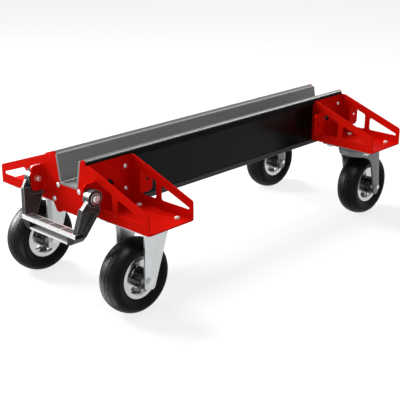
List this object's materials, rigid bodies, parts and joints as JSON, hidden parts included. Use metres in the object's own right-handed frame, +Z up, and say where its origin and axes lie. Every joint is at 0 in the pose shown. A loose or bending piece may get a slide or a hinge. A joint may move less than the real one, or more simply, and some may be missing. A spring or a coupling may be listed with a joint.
{
  "type": "slab transport trolley",
  "caption": "Long trolley that carries a slab on edge in a tapered slot, on rigid and swivel casters, with a folding stirrup at one end.",
  "frame": {"origin": "on the ground, under the middle of the overall length and width", "axes": "+X along the beam towards the swivel casters, +Y to the right side seen facing the stirrup end, +Z up"},
  "size_m": [1.226, 0.6, 0.3836],
  "materials": {
    "red_paint": "glossy red paint",
    "black_panel": "satin black paint",
    "dark_channel": "dark grey paint",
    "grey_liner": "grey, satin",
    "zinc": "zinc plated",
    "bright_steel": "bright zinc",
    "dark_steel": "dark steel",
    "tyre": "black rubber",
    "bright_rim": "bright plated",
    "black_plastic": "moulded black",
    "alloy": "plain alloy extrusion"
  },
  "bodies": {
    "chassis": {"beam_base": "dark_channel", "beam_ribs": "dark_channel", "caster_bolts": "bright_steel", "caster_nuts": "bright_steel", "front_end_plate": "red_paint", "front_left_axle": "bright_steel", "front_left_fork": "zinc", "front_left_inner_gusset": "red_paint", "front_left_side_plate": "red_paint", "front_left_wing_floor": "red_paint", "front_right_axle": "bright_steel", "front_right_fork": "zinc", "front_right_inner_gusset": "red_paint", "front_right_side_plate": "red_paint", "front_right_wing_floor": "red_paint", "left_side_panel": "black_panel", "plate_bolts": "bright_steel", "plate_nuts": "bright_steel", "rear_end_plate": "red_paint", "rear_left_inner_gusset": "red_paint", "rear_left_king_pin": "bright_steel", "rear_left_race": "dark_steel", "rear_left_side_plate": "red_paint", "rear_left_top_plate": "zinc", "rear_left_wing_floor": "red_paint", "rear_right_inner_gusset": "red_paint", "rear_right_king_pin": "bright_steel", "rear_right_race": "dark_steel", "rear_right_side_plate": "red_paint", "rear_right_top_plate": "zinc", "rear_right_wing_floor": "red_paint", "right_side_panel": "black_panel", "slot_liner": "grey_liner", "stirrup_pivot_bolts": "bright_steel", "stirrup_pivot_nuts": "bright_steel"},
    "front_left_wheel": {"front_left_bearings": "bright_steel", "front_left_hub": "black_plastic", "front_left_rim": "bright_rim", "front_left_tyre": "tyre"},
    "rear_left_swivel": {"rear_left_axle": "bright_steel", "rear_left_fork": "zinc"},
    "rear_left_wheel": {"rear_left_bearings": "bright_steel", "rear_left_hub": "black_plastic", "rear_left_rim": "bright_rim", "rear_left_tyre": "tyre"},
    "front_right_wheel": {"front_right_bearings": "bright_steel", "front_right_hub": "black_plastic", "front_right_rim": "bright_rim", "front_right_tyre": "tyre"},
    "rear_right_swivel": {"rear_right_axle": "bright_steel", "rear_right_fork": "zinc"},
    "rear_right_wheel": {"rear_right_bearings": "bright_steel", "rear_right_hub": "black_plastic", "rear_right_rim": "bright_rim", "rear_right_tyre": "tyre"},
    "stirrup": {"stirrup_hub_caps": "black_plastic", "stirrup_left_arm": "black_plastic", "stirrup_right_arm": "black_plastic", "stirrup_tread": "alloy"}
  },
  "joints": [
    {"name": "front_left_spin", "type": "hinge", "parent": "chassis", "child": "front_left_wheel", "pos_m": [-0.497, -0.196, 0.1], "axis": [0, 1, 0], "continuous": true},
    {"name": "rear_left_turn", "type": "hinge", "parent": "chassis", "child": "rear_left_swivel", "pos_m": [0.4785, -0.196, 0.22], "axis": [0, 0, 1], "continuous": true},
    {"name": "rear_left_spin", "type": "hinge", "parent": "rear_left_swivel", "child": "rear_left_wheel", "pos_m": [0.513, -0.196, 0.1], "axis": [0, 1, 0], "continuous": true},
    {"name": "front_right_spin", "type": "hinge", "parent": "chassis", "child": "front_right_wheel", "pos_m": [-0.497, 0.196, 0.1], "axis": [0, 1, 0], "continuous": true},
    {"name": "rear_right_turn", "type": "hinge", "parent": "chassis", "child": "rear_right_swivel", "pos_m": [0.4785, 0.196, 0.22], "axis": [0, 0, 1], "continuous": true},
    {"name": "rear_right_spin", "type": "hinge", "parent": "rear_right_swivel", "child": "rear_right_wheel", "pos_m": [0.513, 0.196, 0.1], "axis": [0, 1, 0], "continuous": true},
    {"name": "stirrup_swing", "type": "hinge", "parent": "chassis", "child": "stirrup", "pos_m": [-0.561, 0, 0.30522], "axis": [0, 1, 0], "range_deg": [0, 100]}
  ]
}
